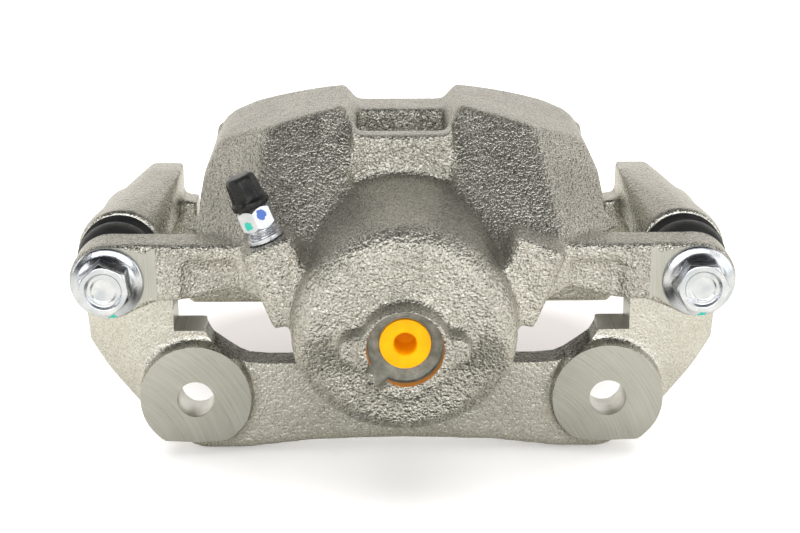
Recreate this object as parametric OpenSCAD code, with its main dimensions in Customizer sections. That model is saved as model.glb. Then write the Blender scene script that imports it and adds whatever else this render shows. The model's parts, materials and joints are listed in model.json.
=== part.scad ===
// Single-piston floating brake caliper with its carrier bracket.
// +Y points outboard along the piston axis, +Z radially outward to the bridge,
// and the origin lies midway between the two knuckle bolt holes on their inboard faces.

/* [Mounting] */
// Distance between the two knuckle bolt holes
mount_spacing = 138; // [134:0.5:142]
// Radius of the knuckle bolt holes
mount_hole_r = 6.05; // [5.5:0.05:6.5]
// Radius of the machined faces around the knuckle bolt holes
mount_face_r = 18.8; // [17:0.1:19]
// Distance from the origin plane to the inboard face of the bracket plate
plate_y = 5; // [4.5:0.1:5.5]
// Thickness of the bracket plate
plate_t = 11; // [10:0.5:13]

/* [Guides] */
// Half the distance between the two guide pins
guide_x = 92.3; // [91.5:0.1:93]
// Height of the guide pins above the knuckle bolts
guide_z = 50; // [49:0.5:51]
// Radius of the guide pins
guide_pin_r = 5; // [4.5:0.1:5.3]
// Radial running clearance of the guide pins and of the piston
running_gap = 0.05; // [0.02:0.01:0.09]
// Outer radius of the bracket's guide towers
tower_r = 14.3; // [14:0.1:15]

/* [Cylinder] */
// Height of the piston axis above the knuckle bolts
cyl_z = 40; // [39.5:0.1:41]
// Radius of the piston
piston_r = 27; // [26:0.1:27.3]
// Outer radius of the cylinder at its closed end
cyl_r = 34.6; // [33.5:0.1:35]
// Outer radius of the cylinder at its open end
mouth_r = 37.2; // [36:0.1:37.5]
// Position of the closed end along the axis
cyl_back_y = -55; // [-57:0.5:-54]
// Position of the open end along the axis
mouth_y = 2.5; // [2:0.1:3]

/* [Bridge] */
// Height of the bridge's middle above the knuckle bolts
bridge_z = 90; // [89:0.5:91]
// Thickness of the bridge outside the disc gap, at its crown
shoulder_t = 20.5; // [19:0.1:21]
// Radius of the curve across the bridge's crown
crown_r = 140; // [138:1:150]
// Greatest half width of the bridge
bridge_x = 66; // [65:0.5:66.5]
// Inboard end of the gap for the disc and pads
gap_y0 = 4.5; // [4:0.1:5]
// Outboard end of the gap for the disc and pads
gap_y1 = 60.5; // [60:0.1:61]
// Outboard face of the fingers
finger_y = 76; // [75:0.5:77]
// Radius of the brake disc that the gap is cut for
disc_r = 130; // [128:0.5:131]

/* [Ports] */
// Tilt of the bleeder screw from vertical, in degrees
bleed_tilt = 22.4; // [21:0.1:24]
// Radius of the bleeder screw's thread
bleed_r = 4; // [3.8:0.1:4.2]
// Radius of the hose port
port_r = 5; // [4.8:0.1:5.2]
// Height of the hose port above the knuckle bolts
port_z = 40.8; // [40:0.1:41]

/* [Hidden] */

$fn = 96;
hull_fn = 32;
eps = 0.01;
far = 200;

// bracket
mount_x = mount_spacing / 2;
plate_back_y = plate_y + plate_t;
ledge_back_y = 21.4;
tower_y = 4.5;
bore_end_y = 48;
disc_z = -56;
disc_clear_r = disc_r + 2.5;
slot_x = 76;
ledge_z = 22.6;
leg_y0 = 45.5;
leg_y1 = 58.5;
arm_end_y = 59.5;

// ears of the caliper body
ear_y0 = -29;
ear_y1 = -13.5;
ear_r = 12.2;
ear_step = 0.7;
spot_x = 77;
pocket_x = 51;
pocket_w = 18;
pocket_depth = 1.6;

// cylinder
bore_r = piston_r + running_gap;
bore_floor_y = -44;
undercut_r = 28.5;
undercut_y0 = -46;
undercut_y1 = -33;
slant_angle = 22;
seal_y0 = -10;
seal_y1 = -6;
seal_r = 30;
boot_seat_r = 31.2;
boot_seat_y = -4.5;
boot_lip_t = 2.2;
groove_y0 = 0.4;
groove_y1 = 2.4;
groove_r = piston_r - 1.4;

// bridge
under_r = 134;
crown_z = disc_z + under_r + shoulder_t - crown_r;
flank_front_y = -26;
window_x = 14.9;
window_y0 = 10;
window_y1 = 41;
recess_x = 16.5;
front_y = 0.5;

// hose port boss
port_face_y = -64;
port_seat_y = -59;
cup_z = 39.9;
boss_mid_z = 37.6;
lobe_x = 15;
lobe_z = 38.3;

// bleeder boss
boss_x = 42;
boss_y = -35;
boss_z = 66;
boss_half = 8.5;
bleed_base_r = 5.6;
bleed_depth = 18;
bleed_hex_af = 10;
bleed_hex_z = 4.3;
bleed_hex_h = 6.7;
nipple_r = 3.3;
nipple_h = 5.5;

// guide bolt heads
head_flange_r = 11.4;
head_flange_t = 2.6;
head_af = 15;
head_h = 9.4;
bolt_r = 4;

// groove of the guide pin that holds the boot's small lip
lip_y = ear_y1 + 2.8;
lip_w = 2;
lip_r = 5.9;

// ---------- helpers ----------

// solid of an X-Z outline, from y0 to y1
module along_y(y0, y1) translate([0, y1, 0]) rotate([90, 0, 0]) linear_extrude(y1 - y0) children();

// round bar along Y, from y0 to y1
module bar(x, z, r, y0, y1) translate([x, y1, z]) rotate([90, 0, 0]) cylinder(r = r, h = y1 - y0);

// body turned about a line along Y, from a radius and Y outline
module turned(x, z, outline) translate([x, 0, z]) rotate([-90, 0, 0]) rotate_extrude() polygon(outline);

// everything on the side of a plane that its normal points to
module beyond(p, n) translate(p) rotate([0, acos(n.z / norm(n)), atan2(n.y, n.x)])
    translate([-far, -far, 0]) cube(2 * far);

// a shape and its mirror image across the middle plane
module both() {
    children();
    mirror([1, 0, 0]) children();
}

function mirrored(half) = concat(half, [for (i = [len(half) - 1:-1:0]) [-half[i].x, half[i].y]]);
function arc(cx, cy, r, a0, a1, n) =
    [for (i = [0:n]) [cx + r * cos(a0 + (a1 - a0) * i / n), cy + r * sin(a0 + (a1 - a0) * i / n)]];

// places its children with +Z along the left bleeder's axis
module on_bleeder() translate([-boss_x, boss_y, boss_z]) rotate([0, -bleed_tilt, 0]) children();

// ---------- bracket ----------

module plate_outline() {
    polygon(mirrored([[0, -16.3], [30, -17.1], [53, -19.7], [67, -19.8], [79.6, -15.6], [89.8, -2.8],
        [99.6, 9.4], [105, 17.6], [106.3, 36], [106.3, 52], [slot_x, 52], [slot_x, ledge_z],
        [66, ledge_z], [63.6, 19], [59.7, 16.1], [55, 12.9], [51.8, 11.5], [45.5, 10.9]]));
}

module leg_outline() {
    polygon(mirrored([[0, 19], [74, 19], [79, 26], [84, 40], [87, 58], [71, 56], [71, 34],
        [67, 28.5], [40, 28], [0, 28]]));
}

module guide_arm() {
    hull() {
        bar(guide_x, guide_z, tower_r, tower_y, 11, $fn = hull_fn);
        bar(guide_x - 1, guide_z, 8.4, 20, 51, $fn = hull_fn);
        translate([76.4, 48, 54]) cube([10.8, arm_end_y - 48, 13.3]);
    }
}

module bracket() {
    color([0.72, 0.71, 0.68]) difference() {
        union() {
            difference() {
                along_y(plate_y, plate_back_y) plate_outline();
                both() {
                    beyond([94.6, plate_y, 18], [2.46, -7, -1.72]);
                    beyond([87.2, plate_y, 1], [2.94, -7, -0.6]);
                }
            }
            both() {
                intersection() {
                    bar(mount_x, 0, mount_face_r, 0, plate_back_y);
                    translate([0, -1, -15.5]) cube([far, 60, far]);
                }
                translate([66, plate_back_y - eps, 14]) cube([22, ledge_back_y - plate_back_y, ledge_z - 14]);
                translate([slot_x, plate_back_y - eps, 14]) cube([14, ledge_back_y - plate_back_y, 34]);
                guide_arm();
            }
            along_y(leg_y0, leg_y1) leg_outline();
        }
        both() {
            // knuckle bolt hole
            bar(mount_x, 0, mount_hole_r, -1, plate_back_y + 10);
            // guide pin bore
            bar(guide_x, guide_z, guide_pin_r + running_gap, tower_y - 1, bore_end_y);
            // groove that the guide boot snaps into
            turned(guide_x, guide_z, [[guide_pin_r + 1, tower_y - 1], [9.5, tower_y - 1],
                [9.5, tower_y + 2], [guide_pin_r + 1, tower_y + 2]]);
        }
        // room for the disc between the inboard plate and the outboard legs
        bar(0, disc_z, disc_clear_r, 21.5, 44.5, $fn = 180);
    }
}

// ---------- caliper body ----------

module cylinder_shell() {
    rim = 7.5;
    difference() {
        turned(0, cyl_z, concat([[0, cyl_back_y], [cyl_r - rim, cyl_back_y]],
            arc(cyl_r - rim, cyl_back_y + rim, rim, -90, 0, 8),
            [[cyl_r + 0.6, -30], [mouth_r, -8], [mouth_r, mouth_y], [0, mouth_y]]));
        // slanted lower half of the closed end
        translate([-far / 2, cyl_back_y, cyl_z + 1]) rotate([slant_angle, 0, 0])
            translate([0, -far, -far]) cube([far, far, far]);
    }
}

module bridge_outline() {
    polygon(mirrored(concat(
        [[0, bridge_z], [14.5, bridge_z]],
        arc(0, crown_z, crown_r, 82.3, 65.6, 6),
        [[61.2, 83], [64.9, 75.2], [bridge_x, 67.5], [65.2, 61], [54, 48], [0, 48]])));
}

module finger_outline() {
    difference() {
        polygon(mirrored([[0, 30], [44, 30], [53, 38], [60, 56], [64.5, 66], [64.5, 80], [0, 90]]));
        translate([-15.5, 0]) square([31, 50]);
        translate([0, 50]) circle(r = 15.5);
    }
}

module bridge() {
    difference() {
        union() {
            intersection() {
                along_y(flank_front_y, finger_y) bridge_outline();
                union() {
                    along_y(flank_front_y, gap_y1 + eps) translate([-far / 2, 0]) square([far, far]);
                    along_y(gap_y1, finger_y) translate([-far / 2, 60]) square([far, far]);
                }
            }
            along_y(gap_y1, finger_y) finger_outline();
        }
        // sloping front of each shoulder, outer corner facet and inner facet
        both() {
            intersection() {
                beyond([40, -15, 73], [0, -0.676, 0.737]);
                translate([recess_x, -100, 0]) cube([far, far, far]);
            }
            intersection() {
                beyond([47, -15, 73], [0.6, -0.47, 0.65]);
                translate([recess_x, -100, 0]) cube([far, 150, far]);
            }
            intersection() {
                beyond([28.7, -15, 71.5], [-0.341, -0.682, 0.647]);
                translate([recess_x, -100, 0]) cube([far, far, far]);
            }
            beyond([52, 62, 88], [0.35, 0.6, 0.72]);
        }
        // middle of the front, between the shoulders
        translate([-recess_x - eps, -60, 60]) cube([2 * (recess_x + eps), 60 + front_y, far]);
        // sloping back
        beyond([0, 51, 96.5], [0, 0.56, 0.83]);
        beyond([0, finger_y, 76], [0, 0.94, 0.34]);
        // gap for the disc and the pads
        bar(0, disc_z, under_r, gap_y0, gap_y1, $fn = 180);
        // inspection window
        translate([-window_x, window_y0, 60]) cube([2 * window_x, window_y1 - window_y0, far]);
    }
}

module ear_outline() {
    polygon([[30, guide_z + ear_r], [guide_x, guide_z + ear_r], [guide_x, guide_z], [84, 40.5],
        [76, 43.9], [66, 44], [52, 47.5], [30, 47.5]]);
    translate([guide_x, guide_z]) circle(r = ear_r);
}

module ear() {
    difference() {
        along_y(ear_y0, ear_y1) ear_outline();
        // milled seat of the guide bolt
        translate([spot_x, ear_y0 - 1, 30]) cube([40, 1 + ear_step, 40]);
        // shallow cast pocket, open at the bottom
        translate([pocket_x, ear_y0 - 1, 40]) cube([pocket_w, 1 + pocket_depth, 17]);
    }
    // concave blend up to the side of the bridge
    difference() {
        translate([56, -21, 60]) cube([20, 20, 14]);
        bar(76.5, 74.6, 12.4, -30, 10);
        beyond([47, -15, 73], [0.6, -0.47, 0.65]);
    }
}

module ear_web() {
    hull() {
        translate([42, ear_y0, 48]) cube([10, 14, 13]);
        translate([24, -34, 38]) cube([8.8, 26, 18]);
    }
}

module boss(side) {
    translate([side * boss_x, boss_y, boss_z]) rotate([0, side * bleed_tilt, 0]) hull() {
        for (x = [-1, 1], y = [-1, 1])
            translate([x * (boss_half - 2.5), y * (boss_half - 2.5), -26])
                cylinder(r = 2.5, h = 26, $fn = hull_fn);
    }
}

module port_boss() {
    difference() {
        union() {
            bar(0, boss_mid_z, 14.4, port_face_y, -45);
            for (s = [-1, 1]) bar(s * lobe_x, lobe_z, 5, port_face_y + 2, -45);
            translate([-lobe_x, port_face_y + 2, lobe_z - 5]) cube([2 * lobe_x, 16, 6]);
        }
        // cup around the seat, opening out to the rim
        turned(0, cup_z, [[0, port_face_y - 1], [12.2, port_face_y - 1], [11.5, port_face_y + 1],
            [11.2, port_seat_y], [0, port_seat_y]]);
        // drain notch through the rim
        translate([0, port_face_y - 1, cup_z]) rotate([0, 45, 0])
            translate([-3.4, 0, -18]) cube([6.8, 6.2, 12]);
    }
}

module caliper_body() {
    color([0.7, 0.69, 0.66]) difference() {
        union() {
            cylinder_shell();
            bridge();
            both() {
                ear();
                ear_web();
            }
            // collar where the cylinder runs into the bridge
            intersection() {
                bar(0, cyl_z, 36, -5.5, gap_y0);
                translate([-far / 2, -far / 2, cyl_z]) cube(far);
            }
            boss(-1);
            boss(1);
            port_boss();
        }
        // piston bore, fluid space, seal groove and seat of the dust boot
        turned(0, cyl_z, [[0, bore_floor_y], [20, bore_floor_y], [22, undercut_y0], [undercut_r, undercut_y0],
            [undercut_r, undercut_y1], [bore_r, undercut_y1 + 1.5], [bore_r, seal_y0 - eps],
            [seal_r + 0.05, seal_y0 - eps], [seal_r + 0.05, seal_y1 + eps], [bore_r, seal_y1 + eps],
            [bore_r, boot_seat_y], [boot_seat_r, boot_seat_y], [boot_seat_r, mouth_y + 3], [0, mouth_y + 3]]);
        // hose port
        bar(0, port_z, port_r + running_gap, port_seat_y - 1, bore_floor_y + 1);
        // guide bolt holes
        both() bar(guide_x, guide_z, bolt_r + 0.2, ear_y0 - 2, ear_y1 + 2);
        // bleeder thread and its passage to the fluid space
        on_bleeder() {
            translate([0, 0, -bleed_depth]) cylinder(r = bleed_r + running_gap, h = bleed_depth + 2);
            translate([0, 0, -bleed_depth - 16]) cylinder(r = 1.5, h = 20);
        }
    }
}

// ---------- pieces in the cylinder ----------

module piston() {
    wall = 4.6;
    front = 4.4;
    back = -39.5;
    color([0.8, 0.8, 0.8]) turned(0, cyl_z, [[0, back], [piston_r - 1.5, back], [piston_r, back + 1.5],
        [piston_r, groove_y0], [groove_r, groove_y0], [groove_r, groove_y1], [piston_r, groove_y1],
        [piston_r, front - 1], [piston_r - 1, front],
        [piston_r - wall, front], [piston_r - wall - 0.4, -28], [piston_r - wall - 4, -31.5], [0, -31.5]]);
}

module piston_seal() {
    color([0.1, 0.1, 0.1]) turned(0, cyl_z, [[piston_r + 0.04, seal_y0], [seal_r, seal_y0],
        [seal_r, seal_y1], [piston_r + 0.04, seal_y1]]);
}

// dust boot: outer lip in its seat, one fold, inner lip in the piston's groove
module piston_boot() {
    lip_y0 = boot_seat_y + 0.2;
    lip_y1 = lip_y0 + boot_lip_t;
    color([0.08, 0.08, 0.08]) turned(0, cyl_z, [[boot_seat_r - 0.1, lip_y0], [boot_seat_r - 0.1, lip_y1],
        [29.9, lip_y1], [29.6, -3.3], [29.1, -3.3], [28.8, 1.6], [28.1, groove_y1 - 0.2],
        [groove_r + 0.15, groove_y1 - 0.2], [groove_r + 0.15, groove_y0 + 0.1], [27.2, groove_y0 + 0.1],
        [27.6, 1.2], [28, 1], [28.3, lip_y0]]);
}

// wire ring that holds the dust boot in its seat
module boot_ring() {
    wire_r = 0.8;
    color([0.6, 0.6, 0.6]) translate([0, boot_seat_y + boot_lip_t + 0.25 + wire_r, cyl_z]) rotate([-90, 0, 0])
        rotate_extrude() translate([boot_seat_r - 0.05 - wire_r, 0]) circle(r = wire_r, $fn = 24);
}

// ---------- ports ----------

module bleeder_screw() {
    cone_z = -15;
    cone_h = 2.8;
    hex_top = bleed_hex_z + bleed_hex_h;
    color([0.75, 0.76, 0.77]) on_bleeder() difference() {
        union() {
            translate([0, 0, cone_z]) cylinder(r = bleed_r, h = bleed_hex_z - cone_z);
            translate([0, 0, cone_z - cone_h]) cylinder(r1 = 1.2, r2 = bleed_r, h = cone_h + eps);
            translate([0, 0, 0.3]) cylinder(r = bleed_base_r, h = 1.3);
            for (i = [0:2]) translate([0, 0, 1.9 + i * 0.8]) cylinder(r = bleed_r + 0.8, h = 0.4);
            translate([0, 0, bleed_hex_z]) rotate(30)
                cylinder(r = bleed_hex_af / sqrt(3), h = bleed_hex_h, $fn = 6);
            translate([0, 0, hex_top - eps]) cylinder(r = nipple_r - 0.5, h = nipple_h + 2 * eps);
            translate([0, 0, hex_top + nipple_h]) cylinder(r1 = nipple_r, r2 = nipple_r - 0.7, h = 2);
        }
        // fluid passage, and the cross hole above the cone
        translate([0, 0, -12]) cylinder(r = 1, h = 40);
        translate([0, 0, -11]) rotate([90, 0, 0]) cylinder(r = 0.8, h = 20, center = true);
    }
}

module bleeder_cap() {
    color([0.05, 0.05, 0.05]) on_bleeder() translate([0, 0, bleed_hex_z + bleed_hex_h + 0.2]) rotate_extrude()
        polygon([[nipple_r + 0.05, 0], [5.3, 0], [5.7, 0.6], [5.7, 1.9], [5.1, 2.8], [4.9, 3.4], [4.5, 9.3],
            [3.9, 10.3], [0, 10.3], [0, 8.2], [nipple_r + 0.05, 8.2]]);
}

module port_plug() {
    color([1, 0.78, 0.02]) turned(0, port_z, [[3.95, -61], [7.75, -61], [7.75, port_seat_y - 0.05],
        [port_r, port_seat_y - 0.05], [port_r, -50.5], [port_r - 0.8, -49], [0, -49], [0, -51], [3.2, -51],
        [3.4, -60]]);
}

// ---------- guides ----------

module guide_pin(side, bushed) {
    hole = bolt_r + 0.05;
    color([0.7, 0.71, 0.73]) difference() {
        turned(side * guide_x, guide_z, concat([[0, ear_y1], [7.6, ear_y1], [7.6, lip_y], [lip_r, lip_y],
            [lip_r, lip_y + lip_w], [7.4, lip_y + lip_w], [7.4, lip_y + 3.4], [guide_pin_r, lip_y + 3.4]],
            bushed ? [[guide_pin_r, 26], [3.7, 26], [3.7, 36], [guide_pin_r, 36]] : [],
            [[guide_pin_r, 39], [guide_pin_r - 1, 40], [0, 40]]));
        bar(side * guide_x, guide_z, hole, ear_y1 - 1, 12);
    }
}

module guide_bolt(side, turn) {
    y0 = ear_y0 + ear_step;
    color([0.8, 0.81, 0.83]) difference() {
        union() {
            bar(side * guide_x, guide_z, bolt_r, y0 - eps, 10);
            turned(side * guide_x, guide_z, [[0, y0], [head_flange_r, y0], [head_flange_r, y0 - 1],
                [head_flange_r - 2.4, y0 - head_flange_t], [0, y0 - head_flange_t]]);
            intersection() {
                translate([side * guide_x, y0, guide_z]) rotate([90, turn, 0])
                    cylinder(r = head_af / sqrt(3), h = head_h, $fn = 6);
                turned(side * guide_x, guide_z, [[0, y0], [9.2, y0], [9.2, y0 - head_h + 1],
                    [7.5, y0 - head_h], [0, y0 - head_h]]);
            }
        }
        // dished top
        turned(side * guide_x, guide_z, [[0, y0 - head_h - 1], [5.8, y0 - head_h - 1], [5.4, y0 - head_h + 0.9],
            [0, y0 - head_h + 1.3]]);
    }
}

// bellows: lip in the pin's groove, smooth barrel, fine folds, lip in the tower's groove
module guide_boot(side) {
    folds = 3;
    fold_r = 13.2;
    barrel_r = 13;
    pitch = 1.5;
    start = -0.6;
    color([0.06, 0.06, 0.06]) turned(side * guide_x, guide_z, concat(
        [[lip_r + 0.1, lip_y + 0.2], [8.8, lip_y + 0.2], [11.6, lip_y + 1.4], [barrel_r - 0.3, lip_y + 4],
         [barrel_r, lip_y + 7], [barrel_r - 0.2, start - 0.6]],
        [for (i = [0:folds - 1], k = [0, 1]) [k == 0 ? fold_r - 1 : fold_r, start + pitch * (i + 0.5 * k)]],
        [[fold_r - 1, tower_y - 0.7], [fold_r - 1.2, tower_y - 0.1], [9.4, tower_y - 0.1], [9.4, tower_y + 1.9],
         [6.4, tower_y + 1.9], [6.4, tower_y], [8.6, tower_y - 1], [11.2, 2.4], [11.7, -2], [11.7, -6],
         [10, lip_y + 2.3], [8, lip_y + 1.4], [7.7, lip_y + lip_w - 0.2], [lip_r + 0.1, lip_y + lip_w - 0.2]]));
}

module pin_bushing() {
    color([0.12, 0.12, 0.12]) turned(guide_x, guide_z, [[3.72, 26.05], [guide_pin_r, 26.05],
        [guide_pin_r, 35.95], [3.72, 35.95]]);
}

bracket();
caliper_body();
piston();
piston_seal();
piston_boot();
boot_ring();
bleeder_screw();
bleeder_cap();
port_plug();
guide_pin(-1, false);  // guide_pin_left
guide_pin(1, true);  // guide_pin_right
guide_bolt(-1, 21);  // guide_bolt_left
guide_bolt(1, 0);  // guide_bolt_right
guide_boot(-1);  // guide_boot_left
guide_boot(1);  // guide_boot_right
pin_bushing();
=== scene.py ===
"""Looks of a floating brake caliper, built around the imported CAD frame.

Blender's lengths are metres. Outlines and sizes of the parts are written in millimetres and scaled by MM.
"""
import json
import math

import bmesh
import bpy
import numpy as np
from mathutils import Matrix, Vector


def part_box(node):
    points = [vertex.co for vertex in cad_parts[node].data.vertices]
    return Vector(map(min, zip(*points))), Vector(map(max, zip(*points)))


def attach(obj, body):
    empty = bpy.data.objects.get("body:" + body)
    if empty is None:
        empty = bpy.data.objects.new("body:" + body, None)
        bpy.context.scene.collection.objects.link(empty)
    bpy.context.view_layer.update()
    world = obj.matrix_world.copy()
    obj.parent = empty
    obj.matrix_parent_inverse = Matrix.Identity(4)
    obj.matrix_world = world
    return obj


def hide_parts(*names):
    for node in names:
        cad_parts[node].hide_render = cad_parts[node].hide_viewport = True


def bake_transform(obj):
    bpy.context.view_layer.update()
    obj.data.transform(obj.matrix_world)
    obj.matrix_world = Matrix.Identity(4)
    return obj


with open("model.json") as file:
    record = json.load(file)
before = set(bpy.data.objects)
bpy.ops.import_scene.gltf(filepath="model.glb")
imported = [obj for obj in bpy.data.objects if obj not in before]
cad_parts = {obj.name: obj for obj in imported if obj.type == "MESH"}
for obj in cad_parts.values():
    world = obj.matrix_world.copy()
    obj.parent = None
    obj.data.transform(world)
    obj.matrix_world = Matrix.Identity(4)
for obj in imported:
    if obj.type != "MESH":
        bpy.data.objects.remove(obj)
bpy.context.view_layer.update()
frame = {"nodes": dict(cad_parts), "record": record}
MM = 0.001

# ---------------------------------------------------------------- camera, floor and lights

CAMERA_ELEVATION = math.radians(17)
CAMERA_TURN = math.radians(-0.8)
CAMERA_DISTANCE = 600 * MM
CAMERA_TARGET = Vector((-0.7, 0, 46.3)) * MM
SENSOR_WIDTH = 36
LENS = 82.44
FLOOR_Z = -21 * MM
FLOOR_SIZE = 20
OVERHEAD_POWER = 62
FRONT_POWER = 8
LEFT_POWER = 1.2
RIGHT_POWER = 3
FRONT_WORLD = 0.04
BACK_WORLD = 1.15


def add_camera():
    data = bpy.data.cameras.new("camera")
    data.sensor_width = SENSOR_WIDTH
    data.lens = LENS
    data.clip_start = 0.01
    camera = bpy.data.objects.new("camera", data)
    bpy.context.collection.objects.link(camera)
    level = math.cos(CAMERA_ELEVATION)
    back = Vector((math.sin(CAMERA_TURN) * level, -math.cos(CAMERA_TURN) * level, math.sin(CAMERA_ELEVATION)))
    camera.location = CAMERA_TARGET + back * CAMERA_DISTANCE
    camera.rotation_euler = (math.radians(90) - CAMERA_ELEVATION, 0, CAMERA_TURN)
    bpy.context.scene.camera = camera


def add_area_light(name, place, target, size, power):
    data = bpy.data.lights.new(name, "AREA")
    data.shape = "RECTANGLE"
    data.size, data.size_y = size
    data.energy = power
    light = bpy.data.objects.new(name, data)
    bpy.context.collection.objects.link(light)
    light.location = place
    light.rotation_euler = (Vector(target) - Vector(place)).to_track_quat("-Z", "Y").to_euler()
    return light


def add_floor():
    """White floor with painted soft shade behind the part, which glows for camera rays. The metal mirrors it as
    grey, with painted dark shade close in front.
    """
    bpy.ops.mesh.primitive_plane_add(size=FLOOR_SIZE, location=(0, 0, FLOOR_Z))
    floor = bpy.context.object
    floor.name = "floor"
    n = Nodes("floor_white")
    rays = n.add("ShaderNodeLightPath")
    # painted shade in reflections: glossy rays see the floor dark close in front of the part
    near = n.ramp(n.distance((0, -0.11, 0), (1, 0.9, 0)), 0, 1, 0.045, 0.075)
    painted_reflection_shade = n.colors(near, (0.03, 0.029, 0.026), (0.74, 0.725, 0.672))
    # painted soft shade on the floor behind the part, seen by camera and diffuse rays
    shade = n.ramp(n.distance((0, 0.12, 0), (0.6, 1, 0)), 0, 1, 0.045, 0.095)
    seen = n.colors(shade, (0.5, 0.472, 0.46), (0.92, 0.915, 0.91))
    color = n.colors(rays.outputs["Is Glossy Ray"], seen, painted_reflection_shade)
    # painted light: the floor glows for camera rays, less inside the painted shade and more far off
    far = n.ramp(n.distance((0, 0, 0), (1, 1, 0)), 0.3, 0.95, 0.5, 1.8)
    glow = n.math("MULTIPLY", n.math("MULTIPLY", rays.outputs["Is Camera Ray"], shade), far)
    n.link(glow, n.shader.inputs["Emission Strength"])
    material = n.finish(color, Roughness=0.85, Specular_IOR_Level=0.1, Emission_Color=(1, 1, 1, 1))
    floor.data.materials.append(material)


def set_world():
    """Studio surroundings: pale to the camera. For the lighting, dim in front and overhead, bright behind."""
    world = bpy.data.worlds.new("studio")
    bpy.context.scene.world = world
    world.use_nodes = True
    tree = world.node_tree

    def ramp(source, start, end, low, high):
        node = tree.nodes.new("ShaderNodeMapRange")
        for name, value in (("From Min", start), ("From Max", end), ("To Min", low), ("To Max", high)):
            node.inputs[name].default_value = value
        tree.links.new(source, node.inputs["Value"])
        return node.outputs["Result"]

    def product(a, b, operation="MULTIPLY"):
        node = tree.nodes.new("ShaderNodeMath")
        node.operation = operation
        tree.links.new(a, node.inputs[0])
        tree.links.new(b, node.inputs[1])
        return node.outputs[0]

    place = tree.nodes.new("ShaderNodeTexCoord")
    split = tree.nodes.new("ShaderNodeSeparateXYZ")
    tree.links.new(place.outputs["Generated"], split.inputs[0])
    behind = ramp(split.outputs["Y"], -0.5, 0.5, FRONT_WORLD, BACK_WORLD)
    fading = ramp(split.outputs["Z"], 0.3, 0.95, 1, 0.05)
    rays = tree.nodes.new("ShaderNodeLightPath")
    seen = ramp(rays.outputs["Is Camera Ray"], 0, 1, 0, 0.9)
    background = tree.nodes["Background"]
    tree.links.new(product(product(behind, fading), seen, "MAXIMUM"), background.inputs["Strength"])
    background.inputs["Color"].default_value = (1, 0.97, 0.925, 1)


def side_name(s):
    return "left" if s < 0 else "right"


def add_lights():
    aim = (0, 0, 0.04)
    overhead = add_area_light("overhead", (0, 0.1, 1.6), (0, 0.1, 0), (2.6, 2.6), OVERHEAD_POWER)
    overhead.visible_glossy = False
    add_area_light("front_box", (-0.05, -1.1, 0.43), aim, (1.3, 0.62), FRONT_POWER)
    add_area_light("left_card", (-0.9, -0.3, 0.3), aim, (0.35, 0.5), LEFT_POWER)
    add_area_light("right_card", (0.85, -0.5, 0.35), aim, (0.7, 0.7), RIGHT_POWER)


# ---------------------------------------------------------------- mesh helpers


def new_piece(name, vertices, faces, smooth=True):
    mesh = bpy.data.meshes.new(name)
    mesh.from_pydata([tuple(v) for v in vertices], [], faces)
    mesh.validate()
    mesh.update()
    piece = bpy.data.objects.new(name, mesh)
    bpy.context.collection.objects.link(piece)
    if smooth:
        mesh.polygons.foreach_set("use_smooth", [True] * len(mesh.polygons))
    return piece


def axis_frame(origin, direction):
    """Matrix that takes +Z to the direction and the zero point to the origin."""
    turn = Vector(direction).normalized().to_track_quat("Z", "Y").to_matrix().to_4x4()
    return Matrix.Translation(Vector(origin)) @ turn


def bridge_rings(rings, closed=True):
    """Faces between neighbouring rings of vertices. A ring of one vertex is a tip."""
    faces = []
    around = max(len(ring) for ring in rings)
    for a, b in zip(rings, rings[1:] + rings[:1] if closed else rings[1:]):
        for i in range(around if len(a) + len(b) > 2 else 0):
            j = (i + 1) % around
            if len(a) == 1:
                faces.append((a[0], b[j], b[i]))
            elif len(b) == 1:
                faces.append((a[i], a[j], b[0]))
            else:
                faces.append((a[i], a[j], b[j], b[i]))
    return faces


def lathe(name, outline, origin, direction=(0, 1, 0), segments=96, closed=True):
    """Body turned about a line, from (radius, distance) points in millimetres. closed joins last to first."""
    place = axis_frame(origin, direction)
    vertices, rings = [], []
    for radius, along in outline:
        if radius < 1e-6:
            rings.append([len(vertices)])
            vertices.append(place @ Vector((0, 0, along * MM)))
            continue
        ring = []
        for i in range(segments):
            angle = 2 * math.pi * i / segments
            ring.append(len(vertices))
            spot = Vector((radius * MM * math.cos(angle), radius * MM * math.sin(angle), along * MM))
            vertices.append(place @ spot)
        rings.append(ring)
    piece = new_piece(name, vertices, bridge_rings(rings, closed))
    outward(piece)
    return piece


def outward(piece):
    """Turns every face of a closed mesh outward."""
    mesh = bmesh.new()
    mesh.from_mesh(piece.data)
    bmesh.ops.recalc_face_normals(mesh, faces=mesh.faces)
    if mesh.calc_volume(signed=True) < 0:
        bmesh.ops.reverse_faces(mesh, faces=mesh.faces)
    mesh.to_mesh(piece.data)
    mesh.free()


def box_piece(name, low, high):
    """Closed box between two corners in millimetres."""
    corners = [(x, y, z) for x in (low[0], high[0]) for y in (low[1], high[1]) for z in (low[2], high[2])]
    faces = [(0, 1, 3, 2), (4, 6, 7, 5), (0, 4, 5, 1), (2, 3, 7, 6), (0, 2, 6, 4), (1, 5, 7, 3)]
    piece = new_piece(name, [Vector(c) * MM for c in corners], faces, smooth=False)
    outward(piece)
    return piece


def apply_modifiers(piece):
    depsgraph = bpy.context.evaluated_depsgraph_get()
    mesh = bpy.data.meshes.new_from_object(piece.evaluated_get(depsgraph))
    piece.modifiers.clear()
    old = piece.data
    piece.data = mesh
    bpy.data.meshes.remove(old)


def join(first, others):
    """Puts the meshes of the other objects into the first one."""
    mesh = bmesh.new()
    mesh.from_mesh(first.data)
    for other in others:
        mesh.from_mesh(other.data)
        bpy.data.objects.remove(other)
    mesh.to_mesh(first.data)
    mesh.free()


def copy_of(node, name):
    source = frame["nodes"][node]
    piece = bpy.data.objects.new(name, source.data.copy())
    bpy.context.collection.objects.link(piece)
    piece.data.materials.clear()
    return piece


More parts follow.
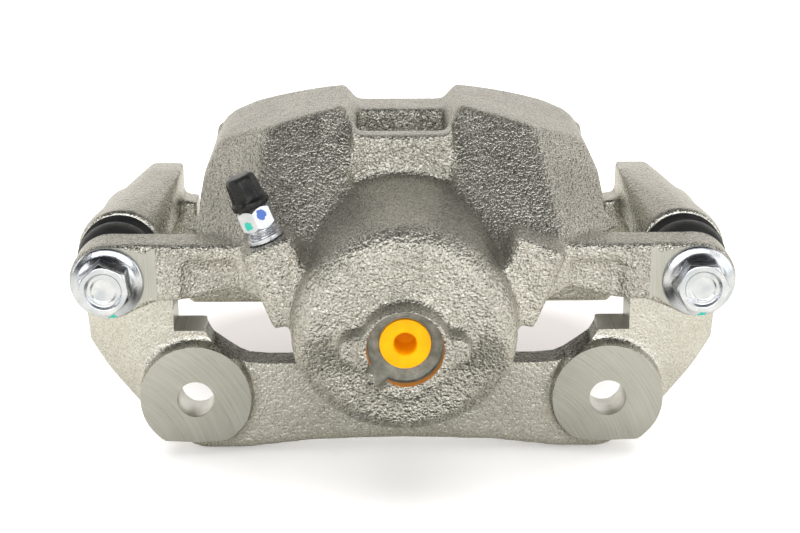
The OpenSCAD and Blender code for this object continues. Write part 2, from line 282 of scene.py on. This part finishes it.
def relax(piece, rounds):
    """Turns the edges of a fine mesh into cast fillets. Each round moves a vertex half way to its neighbours."""
    mesh = piece.data
    count = len(mesh.vertices)
    points = np.empty(count * 3)
    mesh.vertices.foreach_get("co", points)
    points = points.reshape(-1, 3)
    edges = np.empty(len(mesh.edges) * 2, dtype=np.int64)
    mesh.edges.foreach_get("vertices", edges)
    a, b = edges.reshape(-1, 2).T
    degree = np.bincount(a, minlength=count) + np.bincount(b, minlength=count)
    for _ in range(rounds):
        total = np.zeros_like(points)
        for axis in range(3):
            total[:, axis] = np.bincount(a, points[b, axis], count) + np.bincount(b, points[a, axis], count)
        points += 0.5 * (total / degree[:, None] - points)
    mesh.vertices.foreach_set("co", points.ravel())
    mesh.update()


def voxel_remesh(piece, size):
    remesh = piece.modifiers.new("remesh", "REMESH")
    remesh.mode = "VOXEL"
    remesh.voxel_size = size
    apply_modifiers(piece)


def machine(piece, cutters, material):
    """Cuts closed tools out of a casting. The cut faces get the machined material."""
    for cutter in cutters:
        cutter.data.materials.clear()
        cutter.data.materials.append(material)
        cut = piece.modifiers.new("cut", "BOOLEAN")
        cut.operation = "DIFFERENCE"
        cut.solver = "MANIFOLD"
        cut.material_mode = "TRANSFER"
        cut.object = cutter
        apply_modifiers(piece)
        bpy.data.objects.remove(cutter)


def paint(piece, material):
    """Gives the whole piece one material."""
    piece.data.materials.clear()
    piece.data.materials.append(material)
    piece.data.polygons.foreach_set("material_index", [0] * len(piece.data.polygons))


def shade_by_angle(piece, degrees=40):
    mesh = piece.data
    mesh.polygons.foreach_set("use_smooth", [True] * len(mesh.polygons))
    mesh.set_sharp_from_angle(angle=math.radians(degrees))


# ---------------------------------------------------------------- materials


class Nodes:
    """Short way to write a node tree."""

    def __init__(self, name):
        self.material = bpy.data.materials.new(name)
        self.material.use_nodes = True
        self.tree = self.material.node_tree
        self.shader = self.tree.nodes["Principled BSDF"]
        self.place = self.add("ShaderNodeTexCoord").outputs["Object"]

    def add(self, kind, links=(), **values):
        node = self.tree.nodes.new(kind)
        for key, value in values.items():
            setattr(node, key, value)
        for socket, source in links:
            self.link(source, node.inputs[socket])
        return node

    def link(self, source, target):
        self.tree.links.new(source, target)

    def noise(self, scale, detail=3.0, roughness=0.5, vector=None, distortion=0.0):
        node = self.add("ShaderNodeTexNoise", [("Vector", vector or self.place)])
        node.inputs["Scale"].default_value = scale
        node.inputs["Detail"].default_value = detail
        node.inputs["Roughness"].default_value = roughness
        node.inputs["Distortion"].default_value = distortion
        return node.outputs["Fac"]

    def ramp(self, source, low, high, start=0.0, end=1.0):
        """Maps a value from start..end to low..high."""
        node = self.add("ShaderNodeMapRange", [("Value", source)])
        node.inputs["From Min"].default_value = start
        node.inputs["From Max"].default_value = end
        node.inputs["To Min"].default_value = low
        node.inputs["To Max"].default_value = high
        return node.outputs["Result"]

    def math(self, operation, a, b=0.0):
        node = self.add("ShaderNodeMath", operation=operation)
        for socket, value in zip(node.inputs, (a, b)):
            if isinstance(value, (int, float)):
                socket.default_value = value
            else:
                self.link(value, socket)
        return node.outputs[0]

    def distance(self, point, flatten=(1, 1, 1)):
        """Distance from a point, leaving out the directions where flatten is 0."""
        offset = self.add("ShaderNodeVectorMath", [(0, self.place)], operation="SUBTRACT")
        offset.inputs[1].default_value = point
        flat = self.add("ShaderNodeVectorMath", [(0, offset.outputs[0])], operation="MULTIPLY")
        flat.inputs[1].default_value = flatten
        return self.add("ShaderNodeVectorMath", [(0, flat.outputs[0])], operation="LENGTH").outputs["Value"]

    def stretched(self, factors):
        node = self.add("ShaderNodeVectorMath", [(0, self.place)], operation="MULTIPLY")
        node.inputs[1].default_value = factors
        return node.outputs[0]

    def colors(self, source, first, second):
        """Mix of two colours, each a plain colour or another socket."""
        node = self.add("ShaderNodeMix", data_type="RGBA")
        self.link(source, node.inputs[0])
        for socket, color in ((node.inputs[6], first), (node.inputs[7], second)):
            if isinstance(color, tuple):
                socket.default_value = (*color, 1)
            else:
                self.link(color, socket)
        return node.outputs[2]

    def bump(self, height, distance, strength):
        node = self.add("ShaderNodeBump", [("Height", height)])
        node.inputs["Distance"].default_value = distance
        node.inputs["Strength"].default_value = strength
        return node.outputs["Normal"]

    def finish(self, color=None, roughness=None, normal=None, metallic=None, **values):
        linked = {"Base Color": color, "Roughness": roughness, "Normal": normal, "Metallic": metallic}
        for name, source in linked.items():
            if source is not None:
                self.link(source, self.shader.inputs[name])
        for name, value in values.items():
            self.shader.inputs[name.replace("_", " ")].default_value = value
        return self.material


def cast_silver(name, depth, dark, pale):
    """Silver-coated sand casting: wavy sparkling grain of about a millimetre, over a softer unevenness."""
    n = Nodes(name)
    grain = n.noise(1350, detail=0.6, roughness=0.5, distortion=0.5)
    pits = n.noise(420, detail=1.0)
    blotch = n.noise(60, detail=4.0)
    height = n.math("ADD", grain, n.math("MULTIPLY", pits, 0.7))
    tone = n.math("ADD", n.math("MULTIPLY", grain, 0.6), n.math("MULTIPLY", blotch, 0.4))
    color = n.colors(n.ramp(tone, 0, 1, 0.36, 0.64), dark, pale)
    rough = n.ramp(grain, 0.22, 0.34, 0.3, 0.7)
    return n.finish(color, rough, n.bump(height, depth * MM, 1.0), Metallic=0.94)


def milled(name, center, spacing):
    """Face cut by a wide mill: uneven fine arcs about the tool's centre."""
    n = Nodes(name)
    across = n.math("MULTIPLY", n.distance(center, (1, 0, 1)), 1 / (spacing * MM))
    along = n.stretched((45, 45, 45))
    split = n.add("ShaderNodeSeparateXYZ", [(0, along)]).outputs
    arcs = n.add("ShaderNodeCombineXYZ", [("X", across), ("Y", split["X"]), ("Z", split["Z"])])
    marks = n.noise(1.0, detail=3.0, roughness=0.65, vector=arcs.outputs[0])
    cloud = n.noise(70, detail=3.0)
    tone = n.math("ADD", n.math("MULTIPLY", marks, 0.7), n.math("MULTIPLY", cloud, 0.3))
    color = n.colors(n.ramp(tone, 0, 1, 0.36, 0.62), (0.38, 0.376, 0.34), (0.48, 0.476, 0.436))
    return n.finish(color, n.ramp(marks, 0.26, 0.40, 0.3, 0.7), n.bump(marks, 0.06 * MM, 1.0), Metallic=0.94)


def bored_steel():
    """Turned and drilled walls: rings along the hole."""
    n = Nodes("bored_steel")
    rings = n.noise(900, detail=2.0, vector=n.stretched((0.05, 1.6, 0.05)))
    blotch = n.noise(120, detail=3.0)
    color = n.colors(n.ramp(blotch, 0, 1, 0.35, 0.65), (0.44, 0.43, 0.39), (0.62, 0.61, 0.57))
    return n.finish(color, n.ramp(rings, 0.24, 0.4), n.bump(rings, 0.12 * MM, 0.7), Metallic=0.92)


def port_seat():
    """Turned hose seat with amber rust film in the corner of its cup."""
    n = Nodes("port_seat_steel")
    center = (0, 0, PORT_Z * MM)
    reach = n.distance(center, (1, 0, 1))
    wave = n.math("SINE", n.math("MULTIPLY", reach, 2 * math.pi / (0.5 * MM)))
    uneven = n.noise(400, detail=3.0)
    height = n.math("ADD", n.math("MULTIPLY", wave, 0.35), uneven)
    steel = n.colors(n.ramp(uneven, 0, 1, 0.35, 0.65), (0.19, 0.19, 0.165), (0.33, 0.33, 0.29))
    depth = n.add("ShaderNodeSeparateXYZ", [(0, n.place)]).outputs["Y"]
    shore = n.math("ADD", n.math("MULTIPLY", uneven, 1.6 * MM), depth)
    low_in_cup = n.ramp(shore, 1, 0, -60.4 * MM, -59.9 * MM)
    at_wall = n.ramp(reach, 0, 1, 11.1 * MM, 11.25 * MM)
    rust = n.math("MULTIPLY", low_in_cup, at_wall)
    color = n.colors(rust, steel, (0.42, 0.17, 0.03))
    return n.finish(color, n.ramp(uneven, 0.26, 0.42), n.bump(height, 0.1 * MM, 0.8),
                    n.ramp(rust, 0.92, 0.25))


def zinc_plate(name, dabs):
    """Bright blue-white zinc with faint clouds and dabs of marking paint: place and radius in mm, and colour."""
    n = Nodes(name)
    cloud = n.noise(140, detail=4.0, distortion=0.6)
    fine = n.noise(1800, detail=2.0)
    color = n.colors(n.ramp(cloud, 0, 1, 0.35, 0.65), (0.47, 0.50, 0.54), (0.66, 0.67, 0.69))
    metal = None
    edge = n.noise(900, detail=2.0)
    for place, radius, paint in dabs:
        reach = n.math("ADD", n.distance(tuple(v * MM for v in place)), n.math("MULTIPLY", edge, 1.6 * MM))
        dab = n.ramp(reach, 1, 0, (radius + 0.75) * MM, (radius + 0.9) * MM)
        color = n.colors(dab, color, paint)
        bare = n.ramp(dab, 1, 0)
        metal = bare if metal is None else n.math("MULTIPLY", metal, bare)
    rough = n.ramp(cloud, 0.19, 0.31, 0.3, 0.7)
    return n.finish(color, rough, n.bump(fine, 0.035 * MM, 0.7), metal)


def rubber(name, dark, pale, rough, grain=700, shine=0.35):
    n = Nodes(name)
    dust = n.noise(130, detail=4.0)
    fine = n.noise(grain, detail=3.0)
    color = n.colors(n.ramp(dust, 0, 1, 0.38, 0.68), (dark,) * 3, (pale,) * 3)
    return n.finish(color, n.ramp(fine, rough - 0.08, rough + 0.1, 0.3, 0.7), n.bump(fine, 0.05 * MM, 0.6),
                    Specular_IOR_Level=shine)


def plug_plastic():
    n = Nodes("plug_plastic")
    cloud = n.noise(180, detail=3.0)
    fine = n.noise(1500, detail=2.0)
    color = n.colors(n.ramp(cloud, 0, 1, 0.35, 0.65), (0.86, 0.36, 0.0), (0.92, 0.42, 0.001))
    return n.finish(color, n.ramp(fine, 0.36, 0.5), n.bump(fine, 0.04 * MM, 0.5), Specular_IOR_Level=0.12)


def turned_steel(name, dark, pale, low, high):
    n = Nodes(name)
    rings = n.noise(1100, detail=2.0, vector=n.stretched((0.04, 1.5, 0.04)))
    cloud = n.noise(110, detail=3.0)
    color = n.colors(n.ramp(cloud, 0, 1, 0.35, 0.65), dark, pale)
    return n.finish(color, n.ramp(rings, low, high), n.bump(rings, 0.05 * MM, 0.6), Metallic=1.0)


add_camera()
add_floor()
set_world()
add_lights()
bpy.context.scene.view_settings.view_transform = "Standard"

# ---------------------------------------------------------------- places, from the frame, in millimetres


def low(node):
    return Vector(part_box(node)[0]) / MM


def high(node):
    return Vector(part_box(node)[1]) / MM


def middle(node):
    return (low(node) + high(node)) / 2


MOUNT_X = frame["record"]["mounts"][0]["dims"]["spacing_x_mm"] / 2
GUIDE_X = middle("guide_pin_right").x
GUIDE_Z = middle("guide_pin_right").z
CYL_Z = middle("piston").z
PORT_Z = middle("port_plug").z
EAR_BACK = low("guide_pin_right").y
BOLT_LENGTH = 38.3
BOLT_SEAT = high("guide_bolt_right").y - BOLT_LENGTH
BOOT_NOSE = 1.9
TOWER_FACE = high("guide_boot_right").y - BOOT_NOSE
VOXEL = 0.8 * MM

TEAL = (0.01, 0.42, 0.32)
BLUE = (0.05, 0.12, 0.42)
BLEED_TILT = math.radians(22.4)
BLEED_BASE = Vector((-42, -35, 66))

CAST_BODY = cast_silver("cast_body_silver", 0.72, (0.38, 0.365, 0.32), (0.58, 0.56, 0.5))
CAST_BRACKET = cast_silver("cast_bracket_silver", 0.26, (0.48, 0.465, 0.415), (0.62, 0.605, 0.545))
# painted shade: a darker copy of the cast silver for the inner walls of the bracket's opening
CAST_INNER_PAINTED_SHADE = cast_silver("cast_inner_edge_painted_shade", 0.3, (0.16, 0.152, 0.13), (0.24, 0.23, 0.20))
BORED = bored_steel()
SEAT = port_seat()
BOOT_RUBBER = rubber("boot_rubber", 0.006, 0.014, 0.42)
LEDGE = milled("ledge_steel", (300 * MM, 0, 0.02), 0.7)


def bar(name, x, z, radius, y0, y1, segments=96):
    outline = [(0, y0), (radius, y0), (radius, y1), (0, y1)]
    return lathe(name, outline, (x * MM, 0, z * MM), segments=segments, closed=False)


def prism(name, outline, y0, y1):
    """Closed body of an X-Z outline in millimetres, from y0 to y1."""
    count = len(outline)
    vertices = [Vector((x, y, z)) * MM for y in (y0, y1) for x, z in outline]
    faces = [tuple(range(count)), tuple(range(2 * count - 1, count - 1, -1))]
    faces += [(i, i + count, (i + 1) % count + count, (i + 1) % count) for i in range(count)]
    piece = new_piece(name, vertices, faces, smooth=False)
    outward(piece)
    return piece


def both_sides(make):
    return [make(-1), make(1)]


# ---------------------------------------------------------------- castings

# the bracket's inner outline, from the top of the right slot to the middle of the lower beam
OPENING = [(76, 54), (76, 22.8), (66, 22.8), (63.6, 19), (59.7, 16.1), (55, 12.9), (51.8, 11.5), (45.5, 10.9)]
PLATE_Y = 5
PLATE_BACK = 15.9
LEDGE_X = 71
LEDGE_HALF = 5
LEDGE_TOP = 22.6
LEDGE_BACK = 21.4
BOSS_R = 18.6
BOSS_LOW = 15.3
BOSS_LOW_R = 24
MOUNT_HOLE_R = 6.05
PIN_BORE_R = 5.05
EAR_FRONT = -28.3
SPOT_X = 77
EAR_HOLE_R = 4.2
PORT_BORE_R = 5.05


def boss_outline(count=96):
    """Circle of the knuckle boss, flattened below by a wider arc."""
    points = []
    rise = BOSS_LOW_R - BOSS_LOW
    for i in range(count):
        a = 2 * math.pi * i / count
        reach = min(BOSS_R, rise * math.sin(a) + math.sqrt(BOSS_LOW_R ** 2 - (rise * math.cos(a)) ** 2))
        points.append((reach * math.cos(a), reach * math.sin(a)))
    return points


def at_guides(name, radius, y0, y1):
    return both_sides(lambda s: bar(name, s * GUIDE_X, GUIDE_Z, radius, y0, y1))


def ledge_block(name, half, low_y, high_y, bottom):
    """Block of each pad ledge, up into the open slot."""
    corners = ((-half, low_y, bottom), (half, high_y, 30))
    return both_sides(lambda s: box_piece(name, *[(s * LEDGE_X + x, y, z) for x, y, z in corners]))


def make_bracket():
    """Carrier casting, then its openings, knuckle faces and bores cut sharp."""
    piece = copy_of("bracket", "bracket_casting")
    outline = OPENING + [(-x, z) for x, z in reversed(OPENING)]
    wide = [(x * 1.004, z - 0.3) for x, z in outline]
    stock = both_sides(lambda s: prism("stock", [(s * MOUNT_X + x, z) for x, z in boss_outline()], -0.9, 12))
    stock += at_guides("stock", 12, 3.7, 47)
    stock.append(prism("stock", wide, PLATE_Y + 0.02, PLATE_BACK))
    stock += ledge_block("stock", LEDGE_HALF - 0.1, 12, LEDGE_BACK - 0.1, LEDGE_TOP + 0.1)
    join(piece, stock)
    voxel_remesh(piece, VOXEL)
    relax(piece, 9)
    machine(piece, at_guides("cut", 15.5, TOWER_FACE - 2, TOWER_FACE), BORED)
    # the inner walls of the opening get the painted-shade copy of the cast silver
    machine(piece, [prism("cut", outline, PLATE_Y - 5, LEDGE_BACK + 3)], CAST_INNER_PAINTED_SHADE)
    machine(piece, ledge_block("cut", LEDGE_HALF + 0.01, 0, 24, LEDGE_TOP), LEDGE)
    for s in (-1, 1):
        face = milled("boss_face_" + side_name(s), ((s * MOUNT_X - 34) * MM, 0, -26 * MM), 0.4)
        machine(piece, [bar("cut", s * MOUNT_X, 0, 23, -6, 0)], face)
    hole = [(0, -2), (MOUNT_HOLE_R + 0.65, -2), (MOUNT_HOLE_R, 0.6), (MOUNT_HOLE_R, 40), (0, 40)]
    cutters = both_sides(lambda s: lathe("cut", hole, (s * MOUNT_X * MM, 0, 0), closed=False))
    cutters += at_guides("cut", 9.5, 0, TOWER_FACE + 2)
    cutters += at_guides("cut", PIN_BORE_R, 0, 48)
    machine(piece, cutters, BORED)
    finish_casting(piece, CAST_BRACKET, "bracket", "bracket")


def make_body():
    """Body casting, then the cup of its hose port, bore, spot faces and bolt holes cut sharp."""
    piece = copy_of("caliper_body", "body_casting")
    stock = [bar("stock", 0, CYL_Z, 30, -50, 2.5), bar("stock", 0, PORT_Z, 11, -62.6, -50)]
    stock += at_guides("stock", 11.6, -28.9, EAR_BACK + 0.8)
    join(piece, stock)
    voxel_remesh(piece, VOXEL)
    relax(piece, 13)
    cup = [(0, -70), (12.4, -70), (12.2, -65), (11.5, -63), (11.2, -59), (0, -59)]
    cup_z = PORT_Z - 0.9
    notch = box_piece("cut", (-3.4, -65, -18), (3.4, -58.8, -6))
    notch.data.transform(Matrix.Translation((0, 0, cup_z * MM)) @ Matrix.Rotation(math.radians(45), 4, "Y"))
    machine(piece, [lathe("cut", cup, (0, 0, cup_z * MM), closed=False), notch], SEAT)
    bore = [(0, -44), (20, -44), (22, -46), (28.5, -46), (28.5, -33), (27.05, -31.5), (27.05, -10),
            (30.05, -10), (30.05, -6), (27.05, -6), (27.05, -4.5), (31.2, -4.5), (31.2, 6), (0, 6)]
    machine(piece, [lathe("cut", bore, (0, 0, CYL_Z * MM), closed=False),
                    bar("cut", 0, PORT_Z, PORT_BORE_R, -70, -40), bleeder_bar("cut", 4.05, -18, 20)], BORED)
    for s in (-1, 1):
        spot = milled("spot_face_" + side_name(s), ((s * GUIDE_X - 150) * MM, 0, GUIDE_Z * MM), 0.35)
        near, far = sorted((s * SPOT_X, s * 120))
        front = box_piece("cut", (near, -40, 30), (far, EAR_FRONT, 70))
        machine(piece, [front, bar("cut", s * GUIDE_X, GUIDE_Z, 14, EAR_BACK, 0)], spot)
    machine(piece, at_guides("cut", EAR_HOLE_R, -40, 0), BORED)
    finish_casting(piece, CAST_BODY, "caliper_body", "caliper")


def finish_casting(piece, skin, node, body):
    """Gives the uncut surface its cast skin and hands the piece to its body. Milled faces are shaded flat."""
    materials = piece.data.materials
    for index, material in enumerate(materials):
        if material is None:
            materials[index] = skin
    shade_by_angle(piece, 42)
    flat = [i for i, m in enumerate(materials) if m.name.startswith(("boss_face", "spot_face"))]
    for polygon in piece.data.polygons:
        if polygon.material_index in flat:
            polygon.use_smooth = False
    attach(piece, body)
    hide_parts(node)


# ---------------------------------------------------------------- guide bolts and boots


HEAD_FLATS = 15
HEAD_HEIGHT = 9.4


def hex_prism(name, flats, y0, y1, turn):
    """Hexagonal bar along Y about the zero line, its first corner turned down from +X."""
    corner = flats / math.sqrt(3)
    angles = [turn + i * math.pi / 3 for i in range(6)]
    return prism(name, [(corner * math.cos(a), corner * math.sin(a)) for a in angles], y0, y1)


def combine(first, other, operation):
    """Joins, cuts or intersects the first piece with the other, which is used up."""
    tool = first.modifiers.new("combine", "BOOLEAN")
    tool.operation = operation
    tool.solver = "MANIFOLD"
    tool.object = other
    apply_modifiers(first)
    bpy.data.objects.remove(other)


def make_guide_bolt(side, turn):
    """Flanged hex bolt with a chamfered, dished head, made about the zero line with its seat at zero."""
    name = "guide_bolt_" + side_name(side)
    head = hex_prism(name + "_zinc", HEAD_FLATS, -HEAD_HEIGHT, -0.5, math.radians(-turn))
    crown = [(0, -HEAD_HEIGHT), (7.35, -HEAD_HEIGHT), (8.1, -8.9), (9, -7.9), (9, 0), (0, 0)]
    flange = [(0, 0), (11.2, 0), (11.4, -0.25), (11.35, -0.9), (10.9, -1.2), (9.3, -1.9), (8.6, -2.4),
              (7.9, -3.0), (0, -3.0)]
    shank = [(0, -1), (4, -1), (4, BOLT_LENGTH - 1), (3.2, BOLT_LENGTH), (0, BOLT_LENGTH)]
    dish = [(0, -12), (6.4, -12), (5.75, -9.3), (5.35, -8.6), (4.7, -8.45), (4.2, -8.55), (3.7, -8.15),
            (0, -8.1)]
    steps = ((crown, "INTERSECT"), (flange, "UNION"), (shank, "UNION"), (dish, "DIFFERENCE"))
    for outline, operation in steps:
        combine(head, lathe("tool", outline, (0, 0, 0), closed=False), operation)
    voxel_remesh(head, 0.22 * MM)
    relax(head, 2)
    head.data.transform(Matrix.Translation(Vector((side * GUIDE_X, BOLT_SEAT, GUIDE_Z)) * MM))
    dab = (side * GUIDE_X + 1.5, BOLT_SEAT - 0.9, GUIDE_Z - 11.2)
    paint(head, zinc_plate(name + "_plate", [(dab, 1.5, TEAL)]))
    shade_by_angle(head, 55)
    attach(head, "caliper")
    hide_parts(name)


def make_guide_boot(side):
    """Bellows between the pin's groove and the tower: a smooth barrel, then fine ribs at the tower."""
    name = "guide_boot_" + side_name(side)
    lip = EAR_BACK + 2.8
    outer = [(6.1, lip + 0.25), (8.6, lip + 0.25), (10.4, lip + 0.7), (11.8, lip + 1.7), (12.6, lip + 3.2),
             (12.95, lip + 5.4), (13.0, -4.4), (12.8, -3.2), (12.3, -2.6)]
    ribs, inner = 5, []
    for i in range(ribs):
        y = -2.3 + i * 1.25
        outer += [(12.35, y), (13.05, y + 0.3), (13.2, y + 0.55), (13.05, y + 0.8), (12.35, y + 1.1)]
        inner += [(11.7, y), (12.3, y + 0.55), (11.7, y + 1.05)]
    nose = TOWER_FACE + BOOT_NOSE
    outer += [(12.2, TOWER_FACE - 0.35), (11.9, TOWER_FACE - 0.1), (9.4, TOWER_FACE - 0.1), (9.4, nose),
              (6.4, nose), (6.4, TOWER_FACE), (10.2, TOWER_FACE - 0.7)]
    back = [(11.7, -3.2), (12, -5), (11.8, lip + 4.6), (10.4, lip + 2.3), (8, lip + 1.4), (7.7, lip + 1.8),
            (6.1, lip + 1.8)]
    x, z = side * GUIDE_X * MM, GUIDE_Z * MM
    piece = lathe(name + "_rubber", outer + inner[::-1] + back, (x, 0, z), segments=128)
    paint(piece, BOOT_RUBBER)
    shade_by_angle(piece, 50)
    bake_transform(piece)
    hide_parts(name)


# ---------------------------------------------------------------- piston boot


def make_piston_boot():
    """Dust boot whose fold opens out between the caliper's seat and the piston's groove."""
    lip = low("piston_boot").y
    groove0, groove1 = high("piston_boot").y - 1.7, high("piston_boot").y
    outline = [(31.1, lip), (31.15, lip + 0.3), (31.15, lip + 2.1), (30.0, lip + 2.2), (29.65, lip + 1.6),
               (29.5, lip + 1), (29.15, lip + 1.05), (28.95, -1.4), (29.1, -0.9), (28.85, -0.2), (28.95, 0.6),
               (28.7, 1.5), (28.2, groove1 - 0.1), (27.4, groove1), (25.75, groove1), (25.75, groove0),
               (27.2, groove0), (27.6, groove0 + 0.6), (28.0, groove0 + 0.4), (28.2, -0.2), (28.1, -1.1),
               (28.3, lip + 0.6), (28.5, lip)]
    piece = lathe("piston_boot_rubber", outline, (0, 0, CYL_Z * MM), segments=160)
    paint(piece, BOOT_RUBBER)
    shade_by_angle(piece, 50)
    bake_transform(piece)
    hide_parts("piston_boot")


# ---------------------------------------------------------------- bleeder and plug


def bleeder_matrix():
    """Takes +Z to the bleeder's tilted line and the zero point to its seat on the boss."""
    return Matrix.Translation(BLEED_BASE * MM) @ Matrix.Rotation(-BLEED_TILT, 4, "Y")


def bleeder_place(x, y, along):
    """A place beside the bleeder's line, in millimetres."""
    return tuple(bleeder_matrix() @ (Vector((x, y, along)) * MM) / MM)


def bleeder_bar(name, radius, start, end):
    outline = [(0, start), (radius, start), (radius, end), (0, end)]
    piece = lathe(name, outline, (0, 0, 0), (0, 0, 1), closed=False)
    piece.data.transform(bleeder_matrix())
    return piece


def thread(name, radius, depth, pitch, start, end, around=64, per_pitch=10):
    """Closed bar along +Z whose side is one helical thread that fades out at both ends."""
    rows = int((end - start) / pitch * per_pitch)
    vertices, faces = [], []
    for i in range(rows + 1):
        along = start + (end - start) * i / rows
        fade = min(1, (along - start) / pitch, (end - along) / pitch)
        for k in range(around):
            phase = (along / pitch - k / around) % 1
            r = radius - depth * fade * abs(2 * phase - 1) ** 0.8
            angle = 2 * math.pi * k / around
            vertices.append(Vector((r * math.cos(angle), r * math.sin(angle), along)) * MM)
    for i in range(rows):
        for k in range(around):
            a, b = i * around + k, i * around + (k + 1) % around
            faces.append((a, b, b + around, a + around))
    faces += [tuple(range(around - 1, -1, -1)), tuple(range(rows * around, (rows + 1) * around))]
    piece = new_piece(name, vertices, faces)
    outward(piece)
    return piece


def make_bleeder_screw():
    """Bleeder screw: threaded shank with a cone, chamfered hex, and the nipple under the cap."""
    hex_low, hex_high = 4.3, 11.0
    piece = hex_prism("bleeder_screw_zinc", 10, 0, hex_high - hex_low, math.radians(30))
    piece.data.transform(Matrix.Translation((0, 0, hex_low * MM)) @ Matrix.Rotation(math.radians(90), 4, "X"))
    outward(piece)

    def turned(outline, operation):
        combine(piece, lathe("tool", outline, (0, 0, 0), (0, 0, 1), closed=False), operation)

    turned([(0, hex_low), (5.0, hex_low), (5.8, hex_low + 0.9), (5.8, hex_high - 0.9), (5.0, hex_high),
            (0, hex_high)], "INTERSECT")
    turned([(0, -1), (3.9, -1), (3.9, 0.3), (5.6, 0.3), (5.6, 1.5), (4.4, 1.7), (4.1, 1.9), (4.1, 4.1),
            (4.6, 4.4), (0, 4.4)], "UNION")
    turned([(0, hex_high - 0.2), (2.8, hex_high - 0.2), (2.8, hex_high + 5.5), (3.3, hex_high + 5.6),
            (2.6, hex_high + 7.5), (0, hex_high + 7.5)], "UNION")
    combine(piece, thread("upper", 4.95, 0.7, 0.9, 1.6, 4.3), "UNION")
    combine(piece, thread("shank", 3.98, 0.45, 1.25, -15, 0.5), "UNION")
    turned([(0, -17.8), (1.2, -17.8), (3.6, -15.0), (3.6, -14.5), (0, -14.5)], "UNION")
    turned([(0, -12), (1, -12), (1, hex_high + 9), (0, hex_high + 9)], "DIFFERENCE")
    piece.data.transform(bleeder_matrix())
    dabs = [(bleeder_place(-2.9, -4.4, 6.6), 1.4, TEAL), (bleeder_place(2.4, -4.6, 8.7), 1.6, BLUE)]
    paint(piece, zinc_plate("bleeder_plate", dabs))
    shade_by_angle(piece, 32)
    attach(piece, "bleeder")
    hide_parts("bleeder_screw")


def clamp(value):
    return max(0.0, min(1.0, value))


def cap_flute(angle, along):
    """How far the cap's side sinks in: eight flutes along its middle, six faint ones at its rim and top."""
    middle_part = clamp((along - 2.4) / 1.0) * clamp((10.2 - along) / 1.2)
    groove = 0.26 * middle_part * (1 - abs(math.cos(4 * angle)) ** 3)
    return groove + 0.1 * (1 - middle_part) * (0.5 - 0.5 * math.cos(6 * angle))


def make_bleeder_cap():
    """Rubber dust cap: tapered and gently fluted, with a flared rim and a rounded top."""
    base = 11.2
    bore_limit = 3.45
    outline = [(3.4, 0.1), (3.7, 0), (5.45, 0), (5.8, 0.25), (5.9, 0.7), (5.9, 1.6), (5.75, 2.1), (5.4, 2.5),
               (5.25, 3.0), (5.1, 4.5), (5.0, 6), (4.87, 7.6), (4.7, 8.9), (4.5, 9.5), (4.15, 9.95),
               (3.6, 10.2), (2.6, 10.3), (0, 10.3), (0, 8.2), (3.0, 8.2), (3.4, 7.9)]
    around = 96
    vertices, rings = [], []
    for radius, along in outline:
        ring = []
        for k in range(around if radius else 1):
            angle = 2 * math.pi * k / around
            r = radius - (cap_flute(angle, along) if radius > bore_limit else 0)
            ring.append(len(vertices))
            vertices.append(Vector((r * math.cos(angle), r * math.sin(angle), along + base)) * MM)
        rings.append(ring)
    piece = new_piece("bleeder_cap_rubber", vertices, bridge_rings(rings))
    outward(piece)
    piece.data.transform(bleeder_matrix())
    paint(piece, rubber("cap_rubber", 0.005, 0.012, 0.3, 900, 0.3))
    shade_by_angle(piece, 60)
    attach(piece, "cap")
    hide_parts("bleeder_cap")


def make_plug():
    """Moulded transit plug: rounded flange and a hollow stem with two shallow grooves."""
    outline = [(3.75, -60.9), (4.1, -61), (7.3, -61), (7.65, -60.85), (7.75, -60.5), (7.75, -59.3),
               (7.6, -59.05), (5, -59.05), (5, -57.9), (4.85, -57.5), (5, -57.1), (5, -53.2), (4.85, -52.8),
               (5, -52.4), (5, -50.5), (4.2, -49), (0, -49), (0, -51), (3.0, -51), (3.2, -51.3), (3.4, -60),
               (3.5, -60.6)]
    piece = lathe("port_plug_plastic", outline, (0, 0, PORT_Z * MM), segments=128)
    paint(piece, plug_plastic())
    shade_by_angle(piece, 35)
    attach(piece, "plug")
    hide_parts("port_plug")


def refinish(node, material):
    """Gives a CAD node that already has its final shape a better material."""
    for slot in frame["nodes"][node].material_slots:
        slot.material = material


make_bracket()
make_body()
make_guide_bolt(-1, 21)
make_guide_bolt(1, 0)
make_guide_boot(-1)
make_guide_boot(1)
make_piston_boot()
make_bleeder_screw()
make_bleeder_cap()
make_plug()

PIN_STEEL = turned_steel("pin_steel", (0.50, 0.51, 0.53), (0.66, 0.67, 0.68), 0.18, 0.32)
refinish("guide_pin_left", PIN_STEEL)
refinish("guide_pin_right", PIN_STEEL)
refinish("piston", turned_steel("piston_chrome", (0.60, 0.61, 0.62), (0.74, 0.75, 0.76), 0.1, 0.24))
refinish("boot_ring", turned_steel("ring_wire", (0.45, 0.45, 0.44), (0.62, 0.61, 0.58), 0.2, 0.36))
refinish("piston_seal", rubber("seal_rubber", 0.008, 0.016, 0.5))
refinish("pin_bushing", rubber("bushing_rubber", 0.012, 0.024, 0.5))
